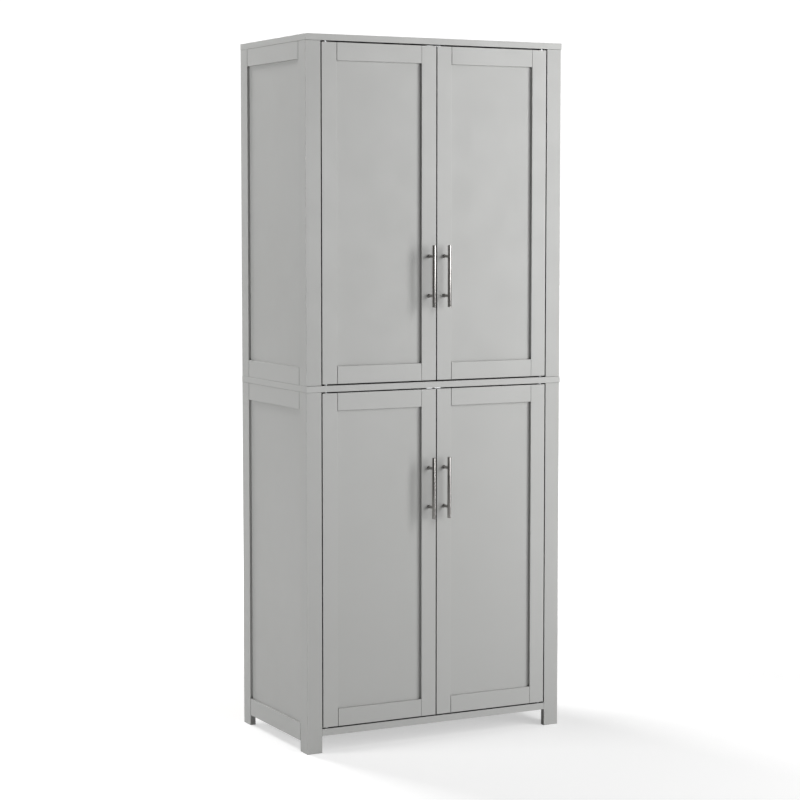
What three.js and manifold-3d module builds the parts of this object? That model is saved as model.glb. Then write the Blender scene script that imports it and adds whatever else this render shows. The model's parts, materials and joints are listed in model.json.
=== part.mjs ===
// Pantry cabinet: a tall cabinet on eight corner posts, with two tiers and four framed doors.
// Units are millimetres, +Z is up and the doors face -Y. The origin is on the floor, under the
// middle of the box that holds the whole cabinet, handles included.

import * as THREE from "three";
import { ConvexGeometry } from "three/addons/geometries/ConvexGeometry.js";
import { mergeVertices } from "three/addons/utils/BufferGeometryUtils.js";
import Module from "manifold-3d";

const wasm = await Module();
wasm.setup();

// ---- Driving dimensions -------------------------------------------------------------------

const HEIGHT = 1829; // floor to the top of the top board
const CARCASS_WIDTH = 746; // over the posts
const CARCASS_DEPTH = 412; // front of the posts to the rear of the back panel
const FRONT_OVERHANG = 3; // top and middle boards past the front of the posts
const SIDE_OVERHANG = 0.5; // the same boards past the outer sides of the posts

const BOARD = 16; // thickness of the top and middle boards
const BOTTOM_BOARD = 18;
const MIDDLE_BOARD_Z = 929; // underside of the middle board
const BOTTOM_BOARD_Z = 44; // underside of the bottom board

const POST_FACE = 42; // width of a front post seen from the front
const POST_SIDE = 43; // width of every post seen from the side
const POST_WALL = 15; // thickness of posts and side rails
const SIDE_RAIL = 45; // height of a side rail
const LOWEST_RAIL_Z = 28; // underside of the lowest side rail
const SIDE_RECESS = 6.5; // side panel behind the outer face of the posts
const SIDE_PANEL = 5;
const BACK_PANEL = 3;

const DOOR_THICKNESS = 16;
const DOOR_SIDE_GAP = 3; // between door and post, and between two doors
const DOOR_END_GAP = 3.5; // between door and board
const STILE = 42;
const DOOR_RAIL = 45;
const DOOR_RECESS = 8; // door panel behind the front of its frame
const DOOR_PANEL = 5;

const PIVOT_INSET = 12; // pivot axis from the hinge edge of the door
const PIN_RADIUS = 2.5;
const PIN_HOLE_RADIUS = 2.8;
const PIN_IN_DOOR = 20;
const PIN_IN_BOARD = 8;
const PIN_HOLE_EXTRA = 1; // clear depth past each end of a pin
const WASHER_RADIUS = 5;
const WASHER = 1.6;

const HANDLE_LENGTH = 160;
const HANDLE_SPACING = 102; // between the two standoffs
const HANDLE_BAR_RADIUS = 5;
const HANDLE_STANDOFF_RADIUS = 3.8;
const HANDLE_FOOT_RADIUS = 5;
const HANDLE_FOOT = 2.5;
const HANDLE_PROJECTION = 34;
const UPPER_HANDLE_Z = 1219; // middle of the bar
const LOWER_HANDLE_Z = 669;

const SHELF = 15;
const SHELF_TRAVEL_CLEARANCE = 1.5; // beside the shelf, so that it lifts freely
const SHELF_FRONT = 24; // shelf edge behind the front of the posts
const SHELF_Z = [488, 1372]; // undersides

const CATCH = { width: 46, depth: 26, height: 14 };

const FIT = 0.3; // clearance between pieces that touch
const EDGE = 0.8; // chamfer on board and frame edges
const ROUND = 32; // segments in a full circle

// ---- Planes worked out from them ------------------------------------------------------------

const Y_FRONT = (HANDLE_PROJECTION - CARCASS_DEPTH) / 2; // front face of posts and doors
const Y_BACK = Y_FRONT + CARCASS_DEPTH; // rear face of the back panel
const Y_FRAME_BACK = Y_BACK - BACK_PANEL - FIT; // rear faces of posts and boards
const X_POST = CARCASS_WIDTH / 2; // outer face of the posts
const X_POST_INNER = X_POST - POST_FACE; // inner edge of a front post's face
const X_WALL_INNER = X_POST - POST_WALL; // inner face of posts and rails at the sides
const TOP_BOARD_Z = HEIGHT - BOARD;
const TIERS = [
  { name: "lower", floor: BOTTOM_BOARD_Z + BOTTOM_BOARD, ceiling: MIDDLE_BOARD_Z, handleZ: LOWER_HANDLE_Z },
  { name: "upper", floor: MIDDLE_BOARD_Z + BOARD, ceiling: TOP_BOARD_Z, handleZ: UPPER_HANDLE_Z },
];
const SIDES = [
  { name: "left", sign: -1 },
  { name: "right", sign: 1 },
];
const DOOR_OUTER_X = X_POST_INNER - DOOR_SIDE_GAP; // hinge edge of a door
const DOOR_INNER_X = DOOR_SIDE_GAP / 2; // free edge of a door
const PIVOT_X = DOOR_OUTER_X - PIVOT_INSET;
const PIVOT_Y = Y_FRONT + DOOR_THICKNESS / 2;

// ---- Materials ------------------------------------------------------------------------------

const paint = new THREE.MeshStandardMaterial({ color: 0xb4b6b3, roughness: 0.5, metalness: 0 });
const panelPaint = new THREE.MeshStandardMaterial({ color: 0xb1b3b0, roughness: 0.52, metalness: 0 });
const hardboard = new THREE.MeshStandardMaterial({ color: 0xa9aaa6, roughness: 0.8, metalness: 0 });
const nickel = new THREE.MeshStandardMaterial({ color: 0x9a9893, roughness: 0.32, metalness: 1 });
const steel = new THREE.MeshStandardMaterial({ color: 0xb9bbbd, roughness: 0.3, metalness: 1 });
const catchPlastic = new THREE.MeshStandardMaterial({ color: 0xe6e6e2, roughness: 0.45, metalness: 0 });

// ---- Shapes ---------------------------------------------------------------------------------

const cabinet = new THREE.Group();

function addMesh(name, geometry, material, parent = cabinet) {
  const mesh = new THREE.Mesh(geometry, material);
  mesh.name = name;
  parent.add(mesh);
  return mesh;
}

// A box with every edge chamfered, between two corners.
function chamferedBox([x0, x1], [y0, y1], [z0, z1], chamfer = EDGE) {
  const c = chamfer;
  const points = [];
  for (const [x, inX] of [[x0, x0 + c], [x1, x1 - c]])
    for (const [y, inY] of [[y0, y0 + c], [y1, y1 - c]])
      for (const [z, inZ] of [[z0, z0 + c], [z1, z1 - c]])
        points.push(
          new THREE.Vector3(x, inY, inZ),
          new THREE.Vector3(inX, y, inZ),
          new THREE.Vector3(inX, inY, z),
        );
  return new ConvexGeometry(points);
}

// A closed outline in X and Y, chamfered by an inward bevel, between two heights.
function prism(outline, z0, z1, chamfer = EDGE) {
  const shape = new THREE.Shape(outline.map(([x, y]) => new THREE.Vector2(x, y)));
  const geometry = new THREE.ExtrudeGeometry(shape, {
    depth: z1 - z0 - 2 * chamfer,
    bevelEnabled: true,
    bevelThickness: chamfer,
    bevelSize: chamfer,
    bevelOffset: -chamfer,
    bevelSegments: 1,
  });
  return geometry.translate(0, 0, z0 + chamfer);
}

// A solid of revolution about a vertical line: the profile is [radius, z] from bottom to top.
function turned(profile, x, y) {
  const bottom = profile[0][1];
  const top = profile[profile.length - 1][1];
  const closed = [[0, bottom], ...profile, [0, top]].map(([r, z]) => new THREE.Vector2(r, z));
  return new THREE.LatheGeometry(closed, ROUND).rotateX(Math.PI / 2).translate(x, y, 0);
}

function cylinder(radius, x, y, z0, z1) {
  return turned([[radius, z0], [radius, z1]], x, y);
}

// ---- Cuts and joins -------------------------------------------------------------------------

function toSolid(geometry) {
  const bare = new THREE.BufferGeometry();
  const source = geometry.index ? geometry.toNonIndexed() : geometry;
  bare.setAttribute("position", source.getAttribute("position"));
  const merged = mergeVertices(bare, 1e-3);
  return new wasm.Manifold(
    new wasm.Mesh({
      numProp: 3,
      vertProperties: merged.attributes.position.array,
      triVerts: new Uint32Array(merged.index.array),
    }),
  );
}

function toGeometry(solid) {
  const mesh = solid.getMesh();
  const geometry = new THREE.BufferGeometry();
  geometry.setAttribute("position", new THREE.BufferAttribute(mesh.vertProperties, 3));
  geometry.setIndex(new THREE.BufferAttribute(mesh.triVerts, 1));
  return geometry;
}

function cut(geometry, ...tools) {
  return toGeometry(tools.reduce((solid, tool) => solid.subtract(toSolid(tool)), toSolid(geometry)));
}

function join(...geometries) {
  return toGeometry(geometries.map(toSolid).reduce((whole, piece) => whole.add(piece)));
}

// ---- Boards ---------------------------------------------------------------------------------

// The blind holes that take the pivot pins of one row of doors, up into a board or down into it.
function boardPinHoles(faceZ, direction) {
  const depth = PIN_IN_BOARD + PIN_HOLE_EXTRA;
  const zs = direction > 0 ? [faceZ - FIT, faceZ + depth] : [faceZ - depth, faceZ + FIT];
  return SIDES.map(({ sign }) => cylinder(PIN_HOLE_RADIUS, sign * PIVOT_X, PIVOT_Y, ...zs));
}

function overhangingBoard(z0) {
  const halfWidth = X_POST + SIDE_OVERHANG;
  return chamferedBox([-halfWidth, halfWidth], [Y_FRONT - FRONT_OVERHANG, Y_FRAME_BACK], [z0, z0 + BOARD]);
}

function makeBoards() {
  addMesh("top_board", cut(overhangingBoard(TOP_BOARD_Z), ...boardPinHoles(TOP_BOARD_Z, 1)), paint);

  const middleTop = MIDDLE_BOARD_Z + BOARD;
  const middleHoles = [...boardPinHoles(MIDDLE_BOARD_Z, 1), ...boardPinHoles(middleTop, -1)];
  addMesh("middle_board", cut(overhangingBoard(MIDDLE_BOARD_Z), ...middleHoles), paint);

  // The bottom board fits between the posts: its front corners are notched round their faces.
  const front = X_POST_INNER - FIT;
  const full = X_WALL_INNER - FIT;
  const notchY = Y_FRONT + POST_WALL + FIT;
  const outline = [
    [-front, Y_FRONT], [front, Y_FRONT], [front, notchY], [full, notchY],
    [full, Y_FRAME_BACK], [-full, Y_FRAME_BACK], [-full, notchY], [-front, notchY],
  ];
  const top = BOTTOM_BOARD_Z + BOTTOM_BOARD;
  addMesh("bottom_board", cut(prism(outline, BOTTOM_BOARD_Z, top), ...boardPinHoles(top, -1)), paint);
}

// ---- Posts, side rails and panels -------------------------------------------------------------

// Ordered pair of X positions, mirrored onto the named side.
function mirrored(sign, inner, outer) {
  return sign > 0 ? [inner, outer] : [-outer, -inner];
}

// A front post is an L in plan: a face seen from the front and a wing along the side.
function frontPost(sign, z0, z1) {
  const outline = [
    [X_POST_INNER, Y_FRONT], [X_POST, Y_FRONT], [X_POST, Y_FRONT + POST_SIDE],
    [X_WALL_INNER, Y_FRONT + POST_SIDE], [X_WALL_INNER, Y_FRONT + POST_WALL], [X_POST_INNER, Y_FRONT + POST_WALL],
  ].map(([x, y]) => [sign * x, y]);
  if (sign < 0) outline.reverse();
  return prism(outline, z0, z1);
}

function makeSides() {
  const wing = [Y_FRONT + POST_SIDE + FIT, Y_FRAME_BACK - POST_SIDE - FIT];
  for (const tier of TIERS) {
    const lower = tier.name === "lower";
    const postBottom = lower ? 0 : tier.floor + FIT;
    const postTop = tier.ceiling - FIT;
    const railBottom = lower ? LOWEST_RAIL_Z : tier.floor + FIT;
    for (const side of SIDES) {
      const label = `${tier.name}_${side.name}`;
      const wall = mirrored(side.sign, X_WALL_INNER, X_POST);
      addMesh(`${label}_front_post`, frontPost(side.sign, postBottom, postTop), paint);
      addMesh(
        `${label}_back_post`,
        chamferedBox(wall, [Y_FRAME_BACK - POST_SIDE, Y_FRAME_BACK], [postBottom, postTop]),
        paint,
      );
      addMesh(`${label}_side_bottom_rail`, chamferedBox(wall, wing, [railBottom, railBottom + SIDE_RAIL]), paint);
      addMesh(`${label}_side_top_rail`, chamferedBox(wall, wing, [postTop - SIDE_RAIL, postTop]), paint);

      const skin = mirrored(side.sign, X_POST - SIDE_RECESS - SIDE_PANEL, X_POST - SIDE_RECESS);
      const panelZ = [railBottom + SIDE_RAIL + FIT, postTop - SIDE_RAIL - FIT];
      addMesh(`${label}_side_panel`, chamferedBox(skin, wing, panelZ, EDGE / 4), panelPaint);
    }
  }
}

function makeBackPanel() {
  const halfWidth = X_POST - 2;
  const z = [BOTTOM_BOARD_Z + 2, HEIGHT - 4];
  addMesh("back_panel", chamferedBox([-halfWidth, halfWidth], [Y_BACK - BACK_PANEL, Y_BACK], z, EDGE / 4), hardboard);
}

// ---- Doors ------------------------------------------------------------------------------------

// A bar pull: a round bar on two standoffs, each with a small foot against the door.
function handle(x, z) {
  const barY = Y_FRONT - HANDLE_PROJECTION + HANDLE_BAR_RADIUS;
  const half = HANDLE_LENGTH / 2;
  const bevel = 0.6;
  const bar = turned(
    [
      [HANDLE_BAR_RADIUS - bevel, z - half], [HANDLE_BAR_RADIUS, z - half + bevel],
      [HANDLE_BAR_RADIUS, z + half - bevel], [HANDLE_BAR_RADIUS - bevel, z + half],
    ],
    x,
    barY,
  );
  // Turned along -Y, starting just clear of the door.
  const reach = Y_FRONT - FIT - barY;
  const standoff = () =>
    turned(
      [
        [HANDLE_FOOT_RADIUS, 0], [HANDLE_FOOT_RADIUS, HANDLE_FOOT - bevel],
        [HANDLE_STANDOFF_RADIUS, HANDLE_FOOT + bevel], [HANDLE_STANDOFF_RADIUS, reach],
      ],
      0,
      0,
    ).rotateX(Math.PI / 2);
  const standoffs = [-1, 1].map((end) => standoff().translate(x, Y_FRONT - FIT, z + (end * HANDLE_SPACING) / 2));
  return join(bar, ...standoffs);
}

// A pivot pin standing in the gap between door and board, with a washer that the door turns on.
// direction is 1 at the top of a door and -1 at its bottom.
function pivotPin(x, doorEndZ, direction) {
  const washerZ = FIT;
  const profile = [
    [PIN_RADIUS, -PIN_IN_DOOR], [PIN_RADIUS, washerZ], [WASHER_RADIUS, washerZ],
    [WASHER_RADIUS, washerZ + WASHER], [PIN_RADIUS, washerZ + WASHER], [PIN_RADIUS, DOOR_END_GAP + PIN_IN_BOARD],
  ].map(([r, z]) => [r, doorEndZ + direction * z]);
  if (direction < 0) profile.reverse();
  return turned(profile, x, PIVOT_Y);
}

function makeDoor(tier, side) {
  const label = `${tier.name}_${side.name}_door`;
  const bottom = tier.floor + DOOR_END_GAP;
  const top = tier.ceiling - DOOR_END_GAP;
  const thickness = [Y_FRONT, Y_FRONT + DOOR_THICKNESS];
  const door = new THREE.Group();
  cabinet.add(door);

  const pivotX = side.sign * PIVOT_X;
  const holeDepth = PIN_IN_DOOR + PIN_HOLE_EXTRA;
  const hingeStile = chamferedBox(mirrored(side.sign, DOOR_OUTER_X - STILE, DOOR_OUTER_X), thickness, [bottom, top]);
  const pinHoles = [
    cylinder(PIN_HOLE_RADIUS, pivotX, PIVOT_Y, bottom - FIT, bottom + holeDepth),
    cylinder(PIN_HOLE_RADIUS, pivotX, PIVOT_Y, top - holeDepth, top + FIT),
  ];
  addMesh(`${label}_hinge_stile`, cut(hingeStile, ...pinHoles), paint, door);

  const handleStileX = mirrored(side.sign, DOOR_INNER_X, DOOR_INNER_X + STILE);
  addMesh(`${label}_handle_stile`, chamferedBox(handleStileX, thickness, [bottom, top]), paint, door);

  const between = mirrored(side.sign, DOOR_INNER_X + STILE + FIT, DOOR_OUTER_X - STILE - FIT);
  addMesh(`${label}_bottom_rail`, chamferedBox(between, thickness, [bottom, bottom + DOOR_RAIL]), paint, door);
  addMesh(`${label}_top_rail`, chamferedBox(between, thickness, [top - DOOR_RAIL, top]), paint, door);

  const panelY = [Y_FRONT + DOOR_RECESS, Y_FRONT + DOOR_RECESS + DOOR_PANEL];
  const panelZ = [bottom + DOOR_RAIL + FIT, top - DOOR_RAIL - FIT];
  addMesh(`${label}_panel`, chamferedBox(between, panelY, panelZ, EDGE / 4), panelPaint, door);

  addMesh(`${label}_bottom_pivot_pin`, pivotPin(pivotX, bottom, -1), steel, door);
  addMesh(`${label}_top_pivot_pin`, pivotPin(pivotX, top, 1), steel, door);

  const handleX = side.sign * (DOOR_INNER_X + STILE / 2);
  addMesh(`${label}_handle`, handle(handleX, tier.handleZ), nickel, door);
}

// ---- Inside -------------------------------------------------------------------------------------

function makeInside() {
  const halfWidth = X_WALL_INNER - SHELF_TRAVEL_CLEARANCE;
  const depth = [Y_FRONT + SHELF_FRONT, Y_FRAME_BACK - SHELF_TRAVEL_CLEARANCE];
  TIERS.forEach((tier, i) => {
    const shelf = chamferedBox([-halfWidth, halfWidth], depth, [SHELF_Z[i], SHELF_Z[i] + SHELF]);
    addMesh(`${tier.name}_shelf`, shelf, paint);

    // One double magnetic catch holds both doors of a tier, behind their top rails.
    const front = Y_FRONT + DOOR_THICKNESS + 2 * FIT;
    const ceiling = tier.ceiling - FIT;
    const body = chamferedBox(
      [-CATCH.width / 2, CATCH.width / 2], [front, front + CATCH.depth], [ceiling - CATCH.height, ceiling], 1.5,
    );
    addMesh(`${tier.name}_magnetic_catch`, body, catchPlastic);
  });
}

makeBoards();
makeSides();
makeBackPanel();
for (const tier of TIERS) for (const side of SIDES) makeDoor(tier, side);
makeInside();

export default cabinet;
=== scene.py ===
# %% [markdown]
# A tall pantry cabinet, finished around its engineering model.
#
# The engineering model gives every board, post, door and pin its place and size. This lesson gives
# each of them its finish: softly rounded edges, grooves that hold the panels, satin paint, brushed
# metal, and the small hardware that the engineering model leaves out. Nothing is moved or resized.

# %% Start: load the frame and keep its box
import json
import math

import bmesh
import bpy
from mathutils import Matrix, Vector


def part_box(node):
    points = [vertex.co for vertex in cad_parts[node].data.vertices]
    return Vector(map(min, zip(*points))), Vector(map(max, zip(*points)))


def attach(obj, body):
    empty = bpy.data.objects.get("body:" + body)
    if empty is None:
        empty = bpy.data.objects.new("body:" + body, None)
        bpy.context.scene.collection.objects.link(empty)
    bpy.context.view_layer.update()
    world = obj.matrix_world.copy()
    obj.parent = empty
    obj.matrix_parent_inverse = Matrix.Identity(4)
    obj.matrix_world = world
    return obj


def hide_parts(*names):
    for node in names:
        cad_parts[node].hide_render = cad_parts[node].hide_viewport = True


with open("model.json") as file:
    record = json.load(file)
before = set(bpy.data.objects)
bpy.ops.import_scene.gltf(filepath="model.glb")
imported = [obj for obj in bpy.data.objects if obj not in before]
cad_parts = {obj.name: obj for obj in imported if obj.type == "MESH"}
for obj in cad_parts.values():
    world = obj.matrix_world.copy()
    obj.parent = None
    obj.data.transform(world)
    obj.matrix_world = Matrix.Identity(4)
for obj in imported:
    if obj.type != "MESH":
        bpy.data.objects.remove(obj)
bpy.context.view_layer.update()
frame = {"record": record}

# %% [markdown]
# Every node of the engineering model belongs to a body: the carcass, one of four doors, or one of
# two shelves. A finished piece takes the place of a node and moves with the same body, so one small
# helper keeps that promise for all of them. The words in a node's name say what it is.

# %% Names, bodies and planes read from the frame
MM = 0.001
TIERS = ("lower", "upper")
SIDES = ("left", "right")
SIGN = {"left": -1.0, "right": 1.0}
body_of = {
    node: body for body, nodes in frame["record"]["behaviour"]["bodies"].items() for node in nodes
}

door_face_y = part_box("upper_left_door_hinge_stile")[0].y
door_back_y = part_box("upper_left_door_hinge_stile")[1].y
post_outer_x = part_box("upper_right_back_post")[1].x
post_inner_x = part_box("upper_right_back_post")[0].x


def new_object(name, mesh, *materials):
    """Link a mesh to the scene, with its materials."""
    made = bpy.data.objects.new(name, mesh)
    for material in materials:
        mesh.materials.append(material)
    bpy.context.scene.collection.objects.link(made)
    return made


def stand_for(piece, node):
    """Let a finished piece take a node's place on its body."""
    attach(piece, body_of[node])
    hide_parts(node)


print("door faces at y =", round(door_face_y, 4), "and post sides at x = +-", round(post_outer_x, 4))

# %% [markdown]
# The camera stands nearly six metres away, to the left of the doors and a little below eye level,
# with a long lens, so that the cabinet keeps nearly parallel sides. It looks down by a
# few degrees only. A small downward shift centres the cabinet in the frame.

# %% Camera
CAMERA_PLACE = Vector((-2.678, -5.159, 1.384))
CAMERA_TURN = math.radians(27.353)
CAMERA_DOWN = math.radians(4.433)
camera_data = bpy.data.cameras.new("studio_camera")
camera_data.sensor_width = 36.0
camera_data.lens = 97.92
camera_data.shift_y = -0.024
camera = bpy.data.objects.new("studio_camera", camera_data)
camera.location = CAMERA_PLACE
camera.rotation_euler = (math.pi / 2 - CAMERA_DOWN, 0.0, -CAMERA_TURN)
bpy.context.scene.collection.objects.link(camera)
bpy.context.scene.camera = camera

# %% [markdown]
# Factory paint on fibreboard is satin and nearly perfect. Three things stop it from looking like
# plastic: its tone drifts very slightly over a large board, its skin has the fine, shallow pebbling
# that a spray leaves, and its colour is painted darker in gaps of a few millimetres, as painted shade
# for the light that does not get in there. The first two come from noise in object coordinates. The
# painted shade comes from an occlusion node, which measures how open the space in front of the
# surface is and darkens the colour where it is closed. Several paints want all three, so they live
# in one node group.

# %% A node group for satin paint and painted gap shade
def new_group(name, inputs, outputs):
    """Start a shader node group with named sockets: (name, kind, default) in, (name, kind) out."""
    group = bpy.data.node_groups.new(name, "ShaderNodeTree")
    for title, kind, default in inputs:
        socket = group.interface.new_socket(title, in_out="INPUT", socket_type=kind)
        socket.default_value = default
    for title, kind in outputs:
        group.interface.new_socket(title, in_out="OUTPUT", socket_type=kind)
    return group, group.nodes.new("NodeGroupInput"), group.nodes.new("NodeGroupOutput")


def add_noise(tree, vector, scale, detail=2.0):
    noise = tree.nodes.new("ShaderNodeTexNoise")
    noise.inputs["Detail"].default_value = detail
    if isinstance(scale, bpy.types.NodeSocket):
        tree.links.new(scale, noise.inputs["Scale"])
    else:
        noise.inputs["Scale"].default_value = scale
    tree.links.new(vector, noise.inputs["Vector"])
    return noise.outputs["Fac"]


def add_range(tree, value, low, high, from_low=0.3, from_high=0.7):
    """Spread a value over a new range. low and high are numbers or sockets."""
    spread = tree.nodes.new("ShaderNodeMapRange")
    spread.inputs["From Min"].default_value = from_low
    spread.inputs["From Max"].default_value = from_high
    tree.links.new(value, spread.inputs["Value"])
    for title, wanted in (("To Min", low), ("To Max", high)):
        if isinstance(wanted, bpy.types.NodeSocket):
            tree.links.new(wanted, spread.inputs[title])
        else:
            spread.inputs[title].default_value = wanted
    return spread.outputs["Result"]


def add_mix(tree, mask, colour_a, colour_b):
    mix = tree.nodes.new("ShaderNodeMix")
    mix.data_type = "RGBA"
    tree.links.new(mask, mix.inputs["Factor"])
    for title, colour in (("A", colour_a), ("B", colour_b)):
        socket = next(s for s in mix.inputs if s.name == title and s.type == "RGBA")
        if isinstance(colour, bpy.types.NodeSocket):
            tree.links.new(colour, socket)
        else:
            socket.default_value = (*colour, 1.0)
    return next(s for s in mix.outputs if s.type == "RGBA")


# The painted shade in narrow gaps: how far the occlusion node looks, the openness over which the colour goes
# from a near-black tone to the paint, and the occlusion samples.
GAP_SHADE_REACH = 0.010
GAP_SHADE_OPENNESS = (0.25, 0.5)
GAP_SHADE_SAMPLES = 12


def paint_and_gap_shade_group():
    group, into, out = new_group(
        "paint_and_gap_shade",
        [
            ("Light Tone", "NodeSocketColor", (0.4, 0.4, 0.4, 1.0)),
            ("Dark Tone", "NodeSocketColor", (0.36, 0.36, 0.36, 1.0)),
            ("Drift Scale", "NodeSocketFloat", 2.2),
            ("Pebble Scale", "NodeSocketFloat", 420.0),
            ("Roughness Low", "NodeSocketFloat", 0.40),
            ("Roughness High", "NodeSocketFloat", 0.50),
            ("Painted Shade Tone", "NodeSocketColor", (0.02, 0.02, 0.02, 1.0)),
        ],
        [("Color", "NodeSocketColor"), ("Roughness", "NodeSocketFloat"), ("Height", "NodeSocketFloat")],
    )
    place = group.nodes.new("ShaderNodeTexCoord").outputs["Object"]
    drift = add_noise(group, place, into.outputs["Drift Scale"])
    drift_mask = add_range(group, drift, 0.0, 1.0)
    tone = add_mix(group, drift_mask, into.outputs["Dark Tone"], into.outputs["Light Tone"])
    # Painted shade: where little open space lies in front of the surface, the colour is mixed towards a
    # near-black tone, standing in for the shade that falls in narrow gaps.
    openness = group.nodes.new("ShaderNodeAmbientOcclusion")
    openness.samples = GAP_SHADE_SAMPLES
    openness.inputs["Distance"].default_value = GAP_SHADE_REACH
    unshaded_share = add_range(group, openness.outputs["AO"], 0.0, 1.0, *GAP_SHADE_OPENNESS)
    tone = add_mix(group, unshaded_share, into.outputs["Painted Shade Tone"], tone)
    group.links.new(tone, out.inputs["Color"])
    sheen = add_noise(group, place, 14.0)
    rough = add_range(group, sheen, into.outputs["Roughness Low"], into.outputs["Roughness High"])
    group.links.new(rough, out.inputs["Roughness"])
    group.links.new(add_noise(group, place, into.outputs["Pebble Scale"], 1.0), out.inputs["Height"])
    return group


paint_and_gap_shade = paint_and_gap_shade_group()

# %% [markdown]
# A material wraps a group: the group gives colour, roughness and height, and the Principled shader
# stays in the material. Numbers that are the same everywhere are set on the shader's own sockets.
# The frames and the panels of a painted cabinet are cut from different boards and never match
# exactly, so the posts and the panels each get a slightly quieter tone of the same grey.

# %% Paint materials
def new_material(name, group, values, bump, bump_distance, **fixed):
    """A Principled material fed by one node group. fixed holds uniform socket values."""
    material = bpy.data.materials.new(name)
    material.use_nodes = True
    tree = material.node_tree
    shader = next(n for n in tree.nodes if n.type == "BSDF_PRINCIPLED")
    for title, value in fixed.items():
        shader.inputs[title.replace("_", " ")].default_value = value
    node = tree.nodes.new("ShaderNodeGroup")
    node.node_tree = group
    for title, value in values.items():
        node.inputs[title].default_value = (*value, 1.0) if isinstance(value, tuple) else value
    tree.links.new(node.outputs["Color"], shader.inputs["Base Color"])
    tree.links.new(node.outputs["Roughness"], shader.inputs["Roughness"])
    relief = tree.nodes.new("ShaderNodeBump")
    relief.inputs["Strength"].default_value = bump
    relief.inputs["Distance"].default_value = bump_distance
    tree.links.new(node.outputs["Height"], relief.inputs["Height"])
    tree.links.new(relief.outputs["Normal"], shader.inputs["Normal"])
    return material


LIGHT_TINT = (1.015, 1.02, 1.0)
DARK_TINT = (0.985, 0.99, 0.965)


def grey_paint(name, level, roughness):
    values = {
        "Light Tone": tuple(level * part for part in LIGHT_TINT),
        "Dark Tone": tuple(level * part for part in DARK_TINT),
        "Roughness Low": roughness - 0.04,
        "Roughness High": roughness + 0.05,
    }
    return new_material(name, paint_and_gap_shade, values, bump=0.12, bump_distance=0.0004)


frame_paint = grey_paint("satin_grey_frame_paint", 0.46, 0.46)
post_paint = grey_paint("satin_grey_post_paint", 0.445, 0.50)
panel_paint = grey_paint("satin_grey_panel_paint", 0.45, 0.50)
inside_paint = grey_paint("satin_grey_inside_laminate", 0.45, 0.55)

# %% [markdown]
# The handles are brushed nickel. Brushing drags fine scratches along the bar, so the noise is
# stretched: it changes fast across the scratches and slowly along them. It drives roughness and a
# very small relief. Pins and screws are bright zinc-plated steel with only a trace of it, and the
# same group serves both.

# %% A node group for brushed metal, and the metals
def brushed_metal_group():
    group, into, out = new_group(
        "brushed_metal",
        [
            ("Light Tone", "NodeSocketColor", (0.6, 0.6, 0.6, 1.0)),
            ("Dark Tone", "NodeSocketColor", (0.4, 0.4, 0.4, 1.0)),
            ("Across", "NodeSocketFloat", 2600.0),
            ("Along", "NodeSocketFloat", 45.0),
            ("Roughness Low", "NodeSocketFloat", 0.22),
            ("Roughness High", "NodeSocketFloat", 0.38),
        ],
        [("Color", "NodeSocketColor"), ("Roughness", "NodeSocketFloat"), ("Height", "NodeSocketFloat")],
    )
    place = group.nodes.new("ShaderNodeTexCoord").outputs["Object"]
    stretch = group.nodes.new("ShaderNodeVectorMath")
    stretch.operation = "MULTIPLY"
    scales = group.nodes.new("ShaderNodeCombineXYZ")
    for axis, title in (("X", "Across"), ("Y", "Across"), ("Z", "Along")):
        group.links.new(into.outputs[title], scales.inputs[axis])
    group.links.new(place, stretch.inputs[0])
    group.links.new(scales.outputs["Vector"], stretch.inputs[1])
    scratches = add_noise(group, stretch.outputs["Vector"], 1.0, 3.0)
    scratch_mask = add_range(group, scratches, 0.0, 1.0)
    tone = add_mix(group, scratch_mask, into.outputs["Dark Tone"], into.outputs["Light Tone"])
    group.links.new(tone, out.inputs["Color"])
    rough = add_range(group, scratches, into.outputs["Roughness High"], into.outputs["Roughness Low"])
    group.links.new(rough, out.inputs["Roughness"])
    group.links.new(scratches, out.inputs["Height"])
    return group


brushed_metal = brushed_metal_group()
brushed_nickel = new_material(
    "brushed_nickel",
    brushed_metal,
    {
        "Light Tone": (0.42, 0.41, 0.395),
        "Dark Tone": (0.30, 0.29, 0.28),
        "Roughness Low": 0.17,
        "Roughness High": 0.30,
    },
    bump=0.25,
    bump_distance=0.00005,
    Metallic=1.0,
)
bright_steel = new_material(
    "bright_zinc_plated_steel",
    brushed_metal,
    {"Light Tone": (0.78, 0.79, 0.80), "Dark Tone": (0.62, 0.63, 0.65), "Along": 900.0, "Across": 900.0},
    bump=0.1,
    bump_distance=0.00003,
    Metallic=1.0,
)

# %% [markdown]
# The back is thin hardboard: pressed brown fibres, smooth on the face and a little mottled. Fine
# noise at two scales gives the fibre flecks. The catches are moulded white plastic with the finest
# spark-eroded grain, which is the paint group again with a tighter pebble, painted gap shade included.

# %% Hardboard and plastic
FIBRE_SHARE = 0.8
MOTTLE_SHARE = 0.2


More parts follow.
